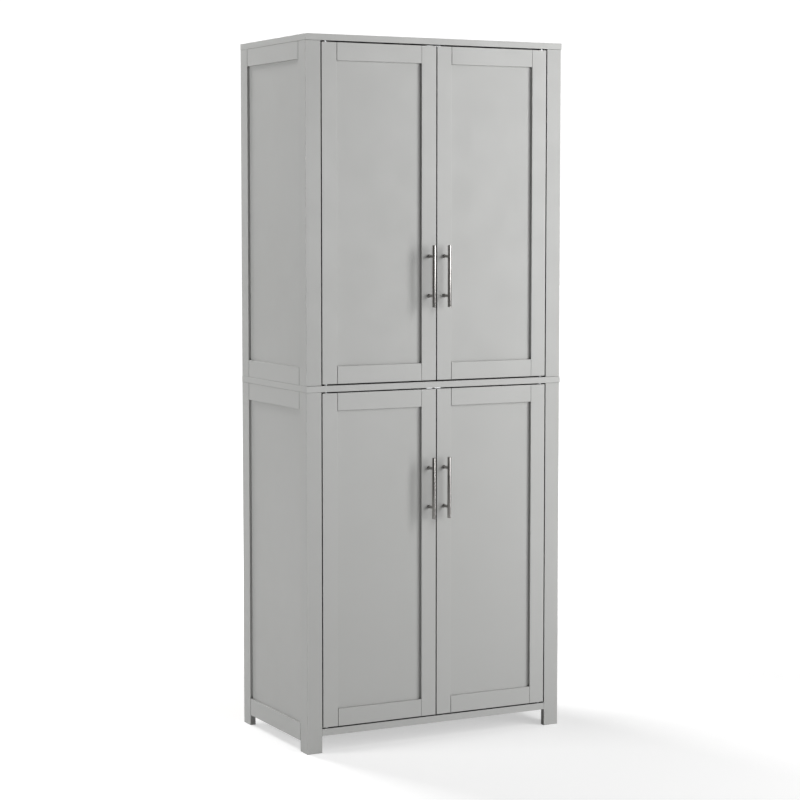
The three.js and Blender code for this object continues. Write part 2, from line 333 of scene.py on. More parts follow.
def pressed_fibre_group():
    group, into, out = new_group(
        "pressed_fibre",
        [
            ("Light Tone", "NodeSocketColor", (0.3, 0.2, 0.1, 1.0)),
            ("Dark Tone", "NodeSocketColor", (0.2, 0.12, 0.06, 1.0)),
            ("Fibre Scale", "NodeSocketFloat", 260.0),
            ("Mottle Scale", "NodeSocketFloat", 9.0),
        ],
        [("Color", "NodeSocketColor"), ("Roughness", "NodeSocketFloat"), ("Height", "NodeSocketFloat")],
    )
    place = group.nodes.new("ShaderNodeTexCoord").outputs["Object"]
    fibres = add_noise(group, place, into.outputs["Fibre Scale"], 4.0)
    mottle = add_noise(group, place, into.outputs["Mottle Scale"], 3.0)
    both = group.nodes.new("ShaderNodeMath")
    both.operation = "MULTIPLY_ADD"
    both.inputs[1].default_value = FIBRE_SHARE
    group.links.new(fibres, both.inputs[0])
    group.links.new(add_range(group, mottle, 0.0, MOTTLE_SHARE), both.inputs[2])
    tone = add_mix(group, both.outputs["Value"], into.outputs["Dark Tone"], into.outputs["Light Tone"])
    group.links.new(tone, out.inputs["Color"])
    group.links.new(add_range(group, fibres, 0.62, 0.8), out.inputs["Roughness"])
    group.links.new(fibres, out.inputs["Height"])
    return group


hardboard = new_material(
    "brown_hardboard",
    pressed_fibre_group(),
    {"Light Tone": (0.37, 0.24, 0.135), "Dark Tone": (0.22, 0.135, 0.07)},
    bump=0.3,
    bump_distance=0.0002,
)
white_plastic = new_material(
    "moulded_white_plastic",
    paint_and_gap_shade,
    {"Light Tone": (0.80, 0.80, 0.78), "Dark Tone": (0.76, 0.76, 0.74), "Pebble Scale": 1500.0},
    bump=0.1,
    bump_distance=0.0001,
)

# %% [markdown]
# Boards, stiles, rails and posts start as plain prisms. Three things make them joinery: the long
# groove that holds a panel, the rows of drilled holes for shelf pins, and edges eased to a radius of
# less than half a millimetre. Grooves and holes are cut with booleans. The easing is a Bevel modifier
# that works on marked edges only, so that the rims of the drilled holes stay crisp, and hardened
# normals keep the faces flat between the rounded edges. The end of a rail is stepped back a little
# at both faces, and that step is the joint line seen where the rail meets a stile or a post.

# %% Helpers that shape timber
EASED_EDGE = 0.4 * MM
JOINT_DEPTH = 3.0 * MM
WIDE_JOINT = 0.8 * MM
FINE_JOINT = 0.3 * MM
SIDE_JOINT = 1.3 * MM
SHARP_TURN = math.radians(30)
SHORTEST_EASED = 3.0 * MM
GROOVE_DEPTH = 6.0 * MM
PANEL_TONGUE = 5.4 * MM
GROOVE_PLAY = 0.2 * MM
CUT_PAST = 1.0


def add_box(bm, low, high):
    """Add a box between two corners."""
    centre = [(a + b) / 2 for a, b in zip(low, high)]
    size = [b - a for a, b in zip(low, high)]
    placed = Matrix.Translation(centre) @ Matrix.Diagonal((*size, 1.0))
    bmesh.ops.create_cube(bm, size=1.0, matrix=placed)


def add_prism(bm, outline, low_z, high_z):
    """Add an upright prism over a closed outline of (x, y) points."""
    foot = bm.faces.new([bm.verts.new((x, y, low_z)) for x, y in outline])
    grown = bmesh.ops.extrude_face_region(bm, geom=[foot])
    top = [item for item in grown["geom"] if isinstance(item, bmesh.types.BMVert)]
    bmesh.ops.translate(bm, verts=top, vec=(0.0, 0.0, high_z - low_z))
    bmesh.ops.recalc_face_normals(bm, faces=bm.faces)


def to_mesh(bm, name):
    mesh = bpy.data.meshes.new(name)
    bm.to_mesh(mesh)
    bm.free()
    return mesh


def combined(mesh, cutter_mesh, operation):
    """Cut one mesh by another, or join them, and return the plain result."""
    body = new_object("work_body", mesh)
    cutter = new_object("work_cutter", cutter_mesh)
    step = body.modifiers.new("combine", "BOOLEAN")
    step.operation = operation
    step.solver = "EXACT"
    step.object = cutter
    bpy.context.view_layer.update()
    evaluated = body.evaluated_get(bpy.context.evaluated_depsgraph_get())
    result = bpy.data.meshes.new_from_object(evaluated)
    bpy.data.objects.remove(body)
    bpy.data.objects.remove(cutter)
    return result


def eased(name, mesh, *materials, radius=EASED_EDGE):
    """Turn a sharp prism into a finished piece with eased edges."""
    bm = bmesh.new()
    bm.from_mesh(mesh)
    bmesh.ops.remove_doubles(bm, verts=bm.verts, dist=1e-6)
    weight = bm.edges.layers.float.new("bevel_weight_edge")
    for edge in bm.edges:
        if edge.calc_face_angle(0.0) < SHARP_TURN:
            continue
        if edge.calc_length() > SHORTEST_EASED:
            edge[weight] = 1.0
        else:
            edge.smooth = False
    for face in bm.faces:
        face.smooth = True
    piece = new_object(name, to_mesh(bm, name), *materials)
    ease = piece.modifiers.new("ease", "BEVEL")
    ease.limit_method = "WEIGHT"
    ease.width = radius
    ease.segments = 3
    ease.use_clamp_overlap = False
    ease.harden_normals = True
    return piece


def rail_outline(node, along, low_joint, high_joint):
    """Outline a rail in plan, stepped back a little at both faces of each end for the joint lines."""
    low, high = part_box(node)
    across = 1 - along
    start, end = low[along], high[along]
    near, far = low[across], high[across]
    steps = [
        (start + low_joint, near), (end - high_joint, near), (end - high_joint, near + JOINT_DEPTH),
        (end, near + JOINT_DEPTH), (end, far - JOINT_DEPTH), (end - high_joint, far - JOINT_DEPTH),
        (end - high_joint, far), (start + low_joint, far), (start + low_joint, far - JOINT_DEPTH),
        (start, far - JOINT_DEPTH), (start, near + JOINT_DEPTH), (start + low_joint, near + JOINT_DEPTH),
    ]
    return [(a, b) if along == 0 else (b, a) for a, b in steps]


def timber(name, node, material, grooves=(), holes=None, outline=None):
    """Make a node's finished timber piece, with its grooves and drilled holes."""
    low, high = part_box(node)
    bm = bmesh.new()
    if outline:
        add_prism(bm, outline, low.z, high.z)
    else:
        add_box(bm, low, high)
    mesh = to_mesh(bm, name)
    if grooves:
        cutter = bmesh.new()
        for groove in grooves:
            add_box(cutter, *groove)
        mesh = combined(mesh, to_mesh(cutter, "grooves"), "DIFFERENCE")
    if holes:
        mesh = combined(mesh, holes, "DIFFERENCE")
    piece = eased(name, mesh, material)
    stand_for(piece, node)
    return piece


# %% [markdown]
# Shelf pins stand in rows of holes, 32 millimetres apart, drilled into the inner faces of the posts.
# A row follows a rule, so Geometry Nodes make it: a line of points, a drill on each, everything
# realized into one cutting tool. The same tree drills every row, with the place of the row as input.

# %% A Geometry Nodes tree for a row of drills
HOLE_PITCH = 32.0 * MM
HOLES_BELOW = 4
HOLES_IN_ROW = 10
HOLE_RADIUS = 2.6 * MM
HOLE_DEPTH = 9.0 * MM
SHELF_PIN_RADIUS = 2.4 * MM
FRONT_PIN_INSET = 9.0 * MM


def new_geometry_tree(name, inputs):
    tree = bpy.data.node_groups.new(name, "GeometryNodeTree")
    tree.interface.new_socket("Geometry", in_out="INPUT", socket_type="NodeSocketGeometry")
    for title, kind in inputs:
        tree.interface.new_socket(title, in_out="INPUT", socket_type=kind)
    tree.interface.new_socket("Geometry", in_out="OUTPUT", socket_type="NodeSocketGeometry")
    return tree, tree.nodes.new("NodeGroupInput"), tree.nodes.new("NodeGroupOutput")


def add_node(tree, kind, settings=None, **sockets):
    """Add a node. A socket's value is a number, a vector or another node's output socket."""
    node = tree.nodes.new(kind)
    for title, value in (settings or {}).items():
        setattr(node, title, value)
    for title, value in sockets.items():
        socket = node.inputs[title.replace("_", " ")]
        if isinstance(value, bpy.types.NodeSocket):
            tree.links.new(value, socket)
        else:
            socket.default_value = value
    return node


def run_tree(name, tree, values, points=None):
    """Evaluate a tree on a mesh and return the plain mesh it makes."""
    host = new_object(name, points or bpy.data.meshes.new(name))
    step = host.modifiers.new("rule", "NODES")
    step.node_group = tree
    for item in tree.interface.items_tree:
        if item.in_out == "INPUT" and item.name in values:
            step[item.identifier] = values[item.name]
    bpy.context.view_layer.update()
    evaluated = host.evaluated_get(bpy.context.evaluated_depsgraph_get())
    mesh = bpy.data.meshes.new_from_object(evaluated)
    bpy.data.objects.remove(host)
    return mesh


def drill_row_tree():
    tree, into, out = new_geometry_tree(
        "drill_row",
        [
            ("First Hole", "NodeSocketVector"),
            ("Pitch", "NodeSocketVector"),
            ("Count", "NodeSocketInt"),
            ("Radius", "NodeSocketFloat"),
            ("Length", "NodeSocketFloat"),
        ],
    )
    row = add_node(
        tree, "GeometryNodeMeshLine", Count=into.outputs["Count"],
        Start_Location=into.outputs["First Hole"], Offset=into.outputs["Pitch"],
    )
    drill = add_node(
        tree, "GeometryNodeMeshCylinder",
        Vertices=20, Radius=into.outputs["Radius"], Depth=into.outputs["Length"],
    )
    turned_drill = add_node(
        tree, "GeometryNodeTransform", Geometry=drill.outputs["Mesh"], Rotation=(0.0, math.pi / 2, 0.0),
    )
    drills = add_node(
        tree, "GeometryNodeInstanceOnPoints",
        Points=row.outputs["Mesh"], Instance=turned_drill.outputs["Geometry"],
    )
    real = add_node(tree, "GeometryNodeRealizeInstances", Geometry=drills.outputs["Instances"])
    tree.links.new(real.outputs["Geometry"], out.inputs["Geometry"])
    return tree


drill_row = drill_row_tree()


def shelf_pin_height(tier):
    """The middle of a shelf pin: the shelf rests on top of it."""
    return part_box(f"{tier}_shelf")[0].z - SHELF_PIN_RADIUS


def shelf_pin_y(tier, post):
    """Front pins stand near the rear of the front post's wing, back pins mid-way in the back post."""
    low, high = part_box(f"{tier}_left_{post}_post")
    return high.y - FRONT_PIN_INSET if post == "front" else (low.y + high.y) / 2


def shelf_pin_holes(tier, side, post):
    values = {
        "First Hole": Vector((
            SIGN[side] * post_inner_x,
            shelf_pin_y(tier, post),
            shelf_pin_height(tier) - HOLES_BELOW * HOLE_PITCH,
        )),
        "Pitch": Vector((0.0, 0.0, HOLE_PITCH)),
        "Count": HOLES_IN_ROW,
        "Radius": HOLE_RADIUS,
        "Length": 2 * HOLE_DEPTH,
    }
    return run_tree("pin_holes", drill_row, values)


# %% [markdown]
# The carcass. A front post is an L in plan, so that it shows a broad face to the front and another
# to the side. A back post is a flat strip. Side rails close each side between the posts, and the
# side panel sits in grooves in all four. The groove in a post stops at the rails, as a routed one
# does, so that no slot shows on its ends.

# %% Posts, side rails and side panels
POST_WALL = 15.0 * MM


def front_post_outline(node, sign):
    low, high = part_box(node)
    outer, inner = (low.x, high.x) if sign < 0 else (high.x, low.x)
    wall = sign * POST_WALL
    return [
        (inner, low.y), (outer, low.y), (outer, high.y),
        (outer - wall, high.y), (outer - wall, low.y + POST_WALL), (inner, low.y + POST_WALL),
    ]


def thin_panel(name, node, grow, material):
    """A panel with its edges run into the grooves round it. grow says how far along X, Y and Z."""
    low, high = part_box(node)
    bm = bmesh.new()
    add_box(bm, low - Vector(grow), high + Vector(grow))
    piece = eased(name, to_mesh(bm, name), material, radius=0.3 * MM)
    stand_for(piece, node)
    return piece


for tier in TIERS:
    for side in SIDES:
        label = f"{tier}_{side}"
        panel_low, panel_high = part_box(f"{label}_side_panel")
        slot_x = (panel_low.x - GROOVE_PLAY, panel_high.x + GROOVE_PLAY)
        slot_z = (panel_low.z - GROOVE_DEPTH, panel_high.z + GROOVE_DEPTH)
        slot_y = (panel_low.y - CUT_PAST, panel_high.y + CUT_PAST)

        front_groove = (
            (slot_x[0], panel_low.y - GROOVE_DEPTH, slot_z[0]),
            (slot_x[1], panel_low.y + MM, slot_z[1]),
        )
        back_groove = (
            (slot_x[0], panel_high.y - MM, slot_z[0]),
            (slot_x[1], panel_high.y + GROOVE_DEPTH, slot_z[1]),
        )
        rail_groove_low = ((slot_x[0], slot_y[0], slot_z[0]), (slot_x[1], slot_y[1], panel_low.z + MM))
        rail_groove_high = ((slot_x[0], slot_y[0], panel_high.z - MM), (slot_x[1], slot_y[1], slot_z[1]))

        front = f"{label}_front_post"
        outline = front_post_outline(front, SIGN[side])
        holes = shelf_pin_holes(tier, side, "front")
        timber(f"painted_{front}", front, post_paint, [front_groove], holes, outline)
        back = f"{label}_back_post"
        timber(f"painted_{back}", back, frame_paint, [back_groove], shelf_pin_holes(tier, side, "back"))
        for part, groove in (("side_bottom_rail", rail_groove_low), ("side_top_rail", rail_groove_high)):
            node = f"{label}_{part}"
            outline = rail_outline(node, 1, SIDE_JOINT, SIDE_JOINT)
            timber(f"painted_{node}", node, frame_paint, [groove], outline=outline)
        thin_panel(
            f"painted_{label}_side_panel", f"{label}_side_panel", (0.0, PANEL_TONGUE, PANEL_TONGUE),
            panel_paint,
        )
print("posts, rails and side panels made")

# %% [markdown]
# The top and middle boards run past the front of the posts by three millimetres and are almost
# flush with their sides. The bottom board fits between the posts and is notched at its front corners,
# so it comes from an outline. The shelves are plain boards. All of them get the same eased edge as
# the frames.

# %% Boards and shelves
def bottom_board_outline():
    low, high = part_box("bottom_board")
    post_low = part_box("lower_right_front_post")[0]
    play = 0.3 * MM
    front_x = post_low.x - play
    notch_y = post_low.y + POST_WALL + play
    return [
        (-front_x, low.y), (front_x, low.y), (front_x, notch_y), (high.x, notch_y),
        (high.x, high.y), (low.x, high.y), (low.x, notch_y), (-front_x, notch_y),
    ]


timber("painted_top_board", "top_board", frame_paint)
timber("painted_middle_board", "middle_board", frame_paint)
timber("painted_bottom_board", "bottom_board", frame_paint, outline=bottom_board_outline())
for tier in TIERS:
    timber(f"painted_{tier}_shelf", f"{tier}_shelf", inside_paint)

# %% [markdown]
# The back panel is one sheet with two faces: bare brown hardboard outside, and grey laminate inside
# where it shows when the doors are open. One mesh with two material slots does it. The sheet folds
# once across its width for packing, so a shallow groove crosses it behind the middle board.

# %% Back panel
FOLD_DEPTH = 1.2 * MM
FOLD_WIDTH = 1.6 * MM


def back_panel():
    low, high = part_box("back_panel")
    bm = bmesh.new()
    add_box(bm, low, high)
    mesh = to_mesh(bm, "back_panel")
    fold_z = sum(corner.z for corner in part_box("middle_board")) / 2
    fold = bmesh.new()
    fold_low = (low.x - CUT_PAST, high.y - FOLD_DEPTH, fold_z - FOLD_WIDTH / 2)
    fold_high = (high.x + CUT_PAST, high.y + MM, fold_z + FOLD_WIDTH / 2)
    add_box(fold, fold_low, fold_high)
    mesh = combined(mesh, to_mesh(fold, "fold"), "DIFFERENCE")
    piece = eased("hardboard_back_panel", mesh, hardboard, inside_paint, radius=0.25 * MM)
    for face in piece.data.polygons:
        if face.normal.y < -0.5:
            face.material_index = 1
    stand_for(piece, "back_panel")


back_panel()

# %% [markdown]
# A door is a frame of two stiles and two rails round a recessed panel. Each rail is pushed up to the
# stile at its right end, so the joint line there is fine and the one at its left end is wider. The
# panel sits well behind the frame, which leaves a shadow line beside the stiles.

# %% Doors
def door(tier, side):
    label = f"{tier}_{side}_door"
    low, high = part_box(f"{label}_panel")
    slot_y = (low.y - GROOVE_PLAY, high.y + GROOVE_PLAY)
    slot_z = (low.z - GROOVE_DEPTH, high.z + GROOVE_DEPTH)
    slot_x = (low.x - CUT_PAST, high.x + CUT_PAST)
    rails = {
        "bottom_rail": ((slot_x[0], slot_y[0], slot_z[0]), (slot_x[1], slot_y[1], low.z + MM)),
        "top_rail": ((slot_x[0], slot_y[0], high.z - MM), (slot_x[1], slot_y[1], slot_z[1])),
    }
    for part, groove in rails.items():
        node = f"{label}_{part}"
        outline = rail_outline(node, 0, WIDE_JOINT, FINE_JOINT)
        timber(f"painted_{node}", node, frame_paint, [groove], outline=outline)
    for part in ("hinge_stile", "handle_stile"):
        node = f"{label}_{part}"
        stile_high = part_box(node)[1]
        at_left = stile_high.x < (low.x + high.x) / 2
        edge = (low.x - GROOVE_DEPTH, low.x + MM) if at_left else (high.x - MM, high.x + GROOVE_DEPTH)
        groove = ((edge[0], slot_y[0], slot_z[0]), (edge[1], slot_y[1], slot_z[1]))
        timber(f"painted_{node}", node, frame_paint, [groove])
    grow = (PANEL_TONGUE, 0.0, PANEL_TONGUE)
    thin_panel(f"painted_{label}_panel", f"{label}_panel", grow, panel_paint)


for tier in TIERS:
    for side in SIDES:
        door(tier, side)
print("doors made")

# %% [markdown]
# Round metal parts are turned: a profile of radius against length, swept round an axis. A handle is
# a turned bar on two turned standoffs, joined into one solid. Its ends are eased so that they catch
# a small highlight. The pivot pins are turned in the same way, with a washer that the door rides on.

# %% Turned metal
ROUND_STEPS = 48
SMOOTH_BELOW = math.radians(32)


def add_turned(bm, profile, origin, axis):
    """Sweep (radius, length) points round an axis from origin. The ends close on the axis."""
    turn = Vector((0.0, 0.0, 1.0)).rotation_difference(Vector(axis)).to_matrix()
    rings = []
    for radius, length in profile:
        ring = []
        for step in range(ROUND_STEPS):
            angle = 2 * math.pi * step / ROUND_STEPS
            point = Vector((radius * math.cos(angle), radius * math.sin(angle), length))
            ring.append(bm.verts.new(Vector(origin) + turn @ point))
        rings.append(ring)
    for lower, upper in zip(rings, rings[1:]):
        for i in range(ROUND_STEPS):
            j = (i + 1) % ROUND_STEPS
            bm.faces.new((lower[i], lower[j], upper[j], upper[i]))
    bm.faces.new(list(reversed(rings[0])))
    bm.faces.new(rings[-1])


def eased_end(radius, ease, start, direction, steps=4):
    """Profile points of a rounded rim, from the flat end to the full radius."""
    points = []
    for i in range(steps + 1):
        angle = math.pi / 2 * i / steps
        across = radius - ease + ease * math.sin(angle)
        points.append((across, start + direction * ease * (1 - math.cos(angle))))
    return points


def smooth_round(mesh):
    mesh.shade_smooth()
    mesh.set_sharp_from_angle(angle=SMOOTH_BELOW)


HANDLE_SPACING = 102.0 * MM
BAR_END_EASE = 0.9 * MM
STANDOFF_FOOT = {"radius": 4.9 * MM, "ease": 0.5 * MM, "start": 0.0, "direction": 1, "steps": 2}
STANDOFF_NECK = [(4.9 * MM, 1.9 * MM), (4.6 * MM, 2.4 * MM), (3.9 * MM, 2.9 * MM), (3.8 * MM, 3.6 * MM)]
STANDOFF_RADIUS = 3.8 * MM


def handle(tier, side):
    node = f"{tier}_{side}_door_handle"
    low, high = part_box(node)
    radius = (high.x - low.x) / 2
    centre_x, centre_z = (low.x + high.x) / 2, (low.z + high.z) / 2
    half = (high.z - low.z) / 2
    bar_y = low.y + radius
    bar_profile = eased_end(radius, BAR_END_EASE, -half, 1)
    bar_profile += list(reversed(eased_end(radius, BAR_END_EASE, half, -1)))
    bm = bmesh.new()
    add_turned(bm, bar_profile, (centre_x, bar_y, centre_z), (0, 0, 1))
    mesh = to_mesh(bm, node)
    for end in (-1, 1):
        post = bmesh.new()
        reach = high.y - bar_y
        profile = eased_end(**STANDOFF_FOOT) + STANDOFF_NECK + [(STANDOFF_RADIUS, reach)]
        foot = (centre_x, high.y, centre_z + end * HANDLE_SPACING / 2)
        add_turned(post, profile, foot, (0, -1, 0))
        mesh = combined(mesh, to_mesh(post, "standoff"), "UNION")
    smooth_round(mesh)
    piece = new_object(f"nickel_{node}", mesh, brushed_nickel)
    stand_for(piece, node)


def pivot_pin(tier, side, end):
    node = f"{tier}_{side}_door_{end}_pivot_pin"
    low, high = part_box(node)
    washer_radius = (high.x - low.x) / 2
    pin_radius = 2.5 * MM
    ease = 0.3 * MM
    tip_ease = 0.8 * MM
    inside_door = 20.0 * MM
    length = high.z - low.z
    start = 0.3 * MM
    stop = start + 1.6 * MM
    washer = [
        (pin_radius, start), (washer_radius - ease, start), (washer_radius, start + ease),
        (washer_radius, stop - ease), (washer_radius - ease, stop), (pin_radius, stop),
    ]
    profile = eased_end(pin_radius, tip_ease, -inside_door, 1) + washer
    profile += list(reversed(eased_end(pin_radius, tip_ease, length - inside_door, -1)))
    direction = 1 if end == "top" else -1
    door_end = low.z + inside_door if direction > 0 else high.z - inside_door
    bm = bmesh.new()
    add_turned(bm, profile, ((low.x + high.x) / 2, (low.y + high.y) / 2, door_end), (0, 0, direction))
    mesh = to_mesh(bm, node)
    smooth_round(mesh)
    piece = new_object(f"steel_{node}", mesh, bright_steel)
    stand_for(piece, node)


for tier in TIERS:
    for side in SIDES:
        handle(tier, side)
        pivot_pin(tier, side, "bottom")
        pivot_pin(tier, side, "top")
print("handles and pins made")

# %% [markdown]
# Screws, nails and shelf pins are all one idea: a head and a shank, standing on a point
# and facing a direction. One Geometry Nodes tree makes them all from the vertices of a small mesh.
# Its inputs are the sizes, the direction that the heads face, and whether a cross is cut into them.

# %% A Geometry Nodes tree for headed hardware
CROSS_LENGTH = 1.25
CROSS_WIDTH = 0.26


def headed_hardware_tree():
    tree, into, out = new_geometry_tree(
        "headed_hardware",
        [
            ("Facing", "NodeSocketVector"),
            ("Head Radius", "NodeSocketFloat"),
            ("Rim Radius", "NodeSocketFloat"),
            ("Head Height", "NodeSocketFloat"),
            ("Shank Radius", "NodeSocketFloat"),
            ("Shank Length", "NodeSocketFloat"),
            ("Cross", "NodeSocketBool"),
            ("Finish", "NodeSocketMaterial"),
        ],
    )
    head = add_node(
        tree, "GeometryNodeMeshCone", Vertices=24, Radius_Bottom=into.outputs["Head Radius"],
        Radius_Top=into.outputs["Rim Radius"], Depth=into.outputs["Head Height"],
    )
    arm_length = add_node(
        tree, "ShaderNodeMath", {"operation": "MULTIPLY"}, Value=into.outputs["Rim Radius"],
    )
    arm_length.inputs[1].default_value = CROSS_LENGTH
    arm_width = add_node(
        tree, "ShaderNodeMath", {"operation": "MULTIPLY"}, Value=into.outputs["Rim Radius"],
    )
    arm_width.inputs[1].default_value = CROSS_WIDTH
    arms = tree.nodes.new("GeometryNodeJoinGeometry")
    lift = add_node(tree, "ShaderNodeCombineXYZ", Z=into.outputs["Head Height"])
    for first, second in ((arm_length, arm_width), (arm_width, arm_length)):
        size = add_node(
            tree, "ShaderNodeCombineXYZ",
            X=first.outputs["Value"], Y=second.outputs["Value"], Z=into.outputs["Head Height"],
        )
        arm = add_node(tree, "GeometryNodeMeshCube", Size=size.outputs["Vector"])
        raised = add_node(
            tree, "GeometryNodeTransform", Geometry=arm.outputs["Mesh"], Translation=lift.outputs["Vector"],
        )
        tree.links.new(raised.outputs["Geometry"], arms.inputs["Geometry"])
    crossed = tree.nodes.new("GeometryNodeMeshBoolean")
    crossed.operation = "DIFFERENCE"
    crossed.solver = "EXACT"
    crossed.inputs["Self Intersection"].default_value = True
    tree.links.new(head.outputs["Mesh"], crossed.inputs["Mesh 1"])
    tree.links.new(arms.outputs["Geometry"], crossed.inputs["Mesh 2"])
    chosen = add_node(
        tree, "GeometryNodeSwitch", {"input_type": "GEOMETRY"}, Switch=into.outputs["Cross"],
        **{"False": head.outputs["Mesh"], "True": crossed.outputs["Mesh"]},
    )
    shank = add_node(
        tree, "GeometryNodeMeshCylinder", Vertices=16,
        Radius=into.outputs["Shank Radius"], Depth=into.outputs["Shank Length"],
    )
    shank_length = into.outputs["Shank Length"]
    half_length = add_node(tree, "ShaderNodeMath", {"operation": "MULTIPLY"}, Value=shank_length)
    half_length.inputs[1].default_value = -0.5
    lowered = add_node(tree, "ShaderNodeCombineXYZ", Z=half_length.outputs["Value"])
    sunk = add_node(
        tree, "GeometryNodeTransform", Geometry=shank.outputs["Mesh"], Translation=lowered.outputs["Vector"],
    )
    whole = tree.nodes.new("GeometryNodeJoinGeometry")
    tree.links.new(chosen.outputs["Output"], whole.inputs["Geometry"])
    tree.links.new(sunk.outputs["Geometry"], whole.inputs["Geometry"])
    aim = add_node(tree, "FunctionNodeAlignRotationToVector", {"axis": "Z"}, Vector=into.outputs["Facing"])
    copies = add_node(
        tree, "GeometryNodeInstanceOnPoints", Points=into.outputs["Geometry"],
        Instance=whole.outputs["Geometry"], Rotation=aim.outputs["Rotation"],
    )
    real = add_node(tree, "GeometryNodeRealizeInstances", Geometry=copies.outputs["Instances"])
    finished = add_node(
        tree, "GeometryNodeSetMaterial", Geometry=real.outputs["Geometry"], Material=into.outputs["Finish"],
    )
    tree.links.new(finished.outputs["Geometry"], out.inputs["Geometry"])
    return tree


headed_hardware = headed_hardware_tree()
SCREW = {"Head Radius": 3.4, "Rim Radius": 2.6, "Head Height": 1.6, "Shank Radius": 1.5, "Shank Length": 10.0}
NAIL = {"Head Radius": 2.6, "Rim Radius": 2.2, "Head Height": 0.5, "Shank Radius": 0.8, "Shank Length": 12.0}
SHELF_PIN = {
    "Head Radius": 4.0, "Rim Radius": 4.0, "Head Height": 0.9, "Shank Radius": 2.4, "Shank Length": 8.0,
}


def hardware(name, body, points, facing, sizes, finish, cross=False):
    """Headed hardware at a list of points on one body."""
    spots = bpy.data.meshes.new(name + "_points")
    spots.from_pydata([tuple(point) for point in points], [], [])
    values = {title: size * MM for title, size in sizes.items()}
    values.update({"Facing": Vector(facing), "Cross": cross, "Finish": finish})
    mesh = run_tree(name + "_rule", headed_hardware, values, spots)
    smooth_round(mesh)
    piece = new_object(name, mesh)
    if not mesh.materials:
        mesh.materials.append(finish)
    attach(piece, body)
    return piece


# %% [markdown]
# Where the hardware goes. Each shelf stands on four pins that move with it, because they are set in
# other holes when the shelf is. Each handle is held by two screws from behind. The back panel is
# nailed all round and across the middle board.

# %% Shelf pins, handle screws, nails
def shelf_pins(tier):
    body = body_of[f"{tier}_shelf"]
    for side in SIDES:
        inward = (-SIGN[side], 0.0, 0.0)
        face = SIGN[side] * (post_inner_x - 0.1 * MM)
        points = [(face, shelf_pin_y(tier, post), shelf_pin_height(tier)) for post in ("front", "back")]
        hardware(f"{tier}_{side}_shelf_pins", body, points, inward, SHELF_PIN, bright_steel)


def shelf_pin_ledges(tier):
    """The part of each pin that the shelf lies on, past its collar."""
    bm = bmesh.new()
    for side in SIDES:
        start = SIGN[side] * (post_inner_x - 0.8 * MM)
        for post in ("front", "back"):
            ledge = [(SHELF_PIN_RADIUS, 0.0)]
            ledge += list(reversed(eased_end(SHELF_PIN_RADIUS, 0.6 * MM, 9.0 * MM, -1)))
            place = (start, shelf_pin_y(tier, post), shelf_pin_height(tier) - 0.1 * MM)
            add_turned(bm, ledge, place, (-SIGN[side], 0, 0))
    mesh = to_mesh(bm, f"{tier}_shelf_pin_ledges")
    smooth_round(mesh)
    piece = new_object(f"{tier}_shelf_pin_ledges", mesh, bright_steel)
    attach(piece, body_of[f"{tier}_shelf"])


def handle_screws(tier, side):
    low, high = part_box(f"{tier}_{side}_door_handle")
    centre_x, centre_z = (low.x + high.x) / 2, (low.z + high.z) / 2
    points = [(centre_x, door_back_y + 0.8 * MM, centre_z + end * HANDLE_SPACING / 2) for end in (-1, 1)]
    hardware(
        f"{tier}_{side}_handle_screws", f"{tier}_{side}_door", points, (0, 1, 0),
        SCREW, bright_steel, cross=True,
    )


NAILS_ACROSS = 7
NAILS_UPRIGHT = 15


def back_nails():
    low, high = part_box("back_panel")
    margin = 7.0 * MM
    inset = 40.0 * MM
    face_y = high.y - 0.5 * MM
    board_middle_z = sum(corner.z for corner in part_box("middle_board")) / 2
    rows = [low.z + margin, board_middle_z + 5.0 * MM, high.z - margin]
    step_x = (high.x - low.x - 2 * inset) / (NAILS_ACROSS - 1)
    across = [low.x + inset + i * step_x for i in range(NAILS_ACROSS)]
    points = [(x, face_y, z) for z in rows for x in across]
    step_z = (high.z - low.z - 2 * margin) / (NAILS_UPRIGHT - 1)
    upright = [low.z + margin + i * step_z for i in range(NAILS_UPRIGHT)]
    points += [(x, face_y, z) for x in (low.x + margin, high.x - margin) for z in upright]
    hardware("back_panel_nails", "carcass", points, (0, 1, 0), NAIL, bright_steel)


for tier in TIERS:
    shelf_pins(tier)
    shelf_pin_ledges(tier)
    for side in SIDES:
        handle_screws(tier, side)
back_nails()

# %% [markdown]
# Each pair of doors is held by a double magnetic catch under the board above them. Its body is
# moulded plastic with two steel pole strips at the front, one for each door. A thin steel strike
# plate on each door meets its pole strips.

# %% Catches and strike plates
POLE_OFFSET = 12.0 * MM
POLE_ROW_OFFSET = 2.6 * MM
POLE_HALF_WIDTH = 7.0 * MM
POLE_HALF_HEIGHT = 0.6 * MM
PLATE_HALF_WIDTH = 8.5 * MM


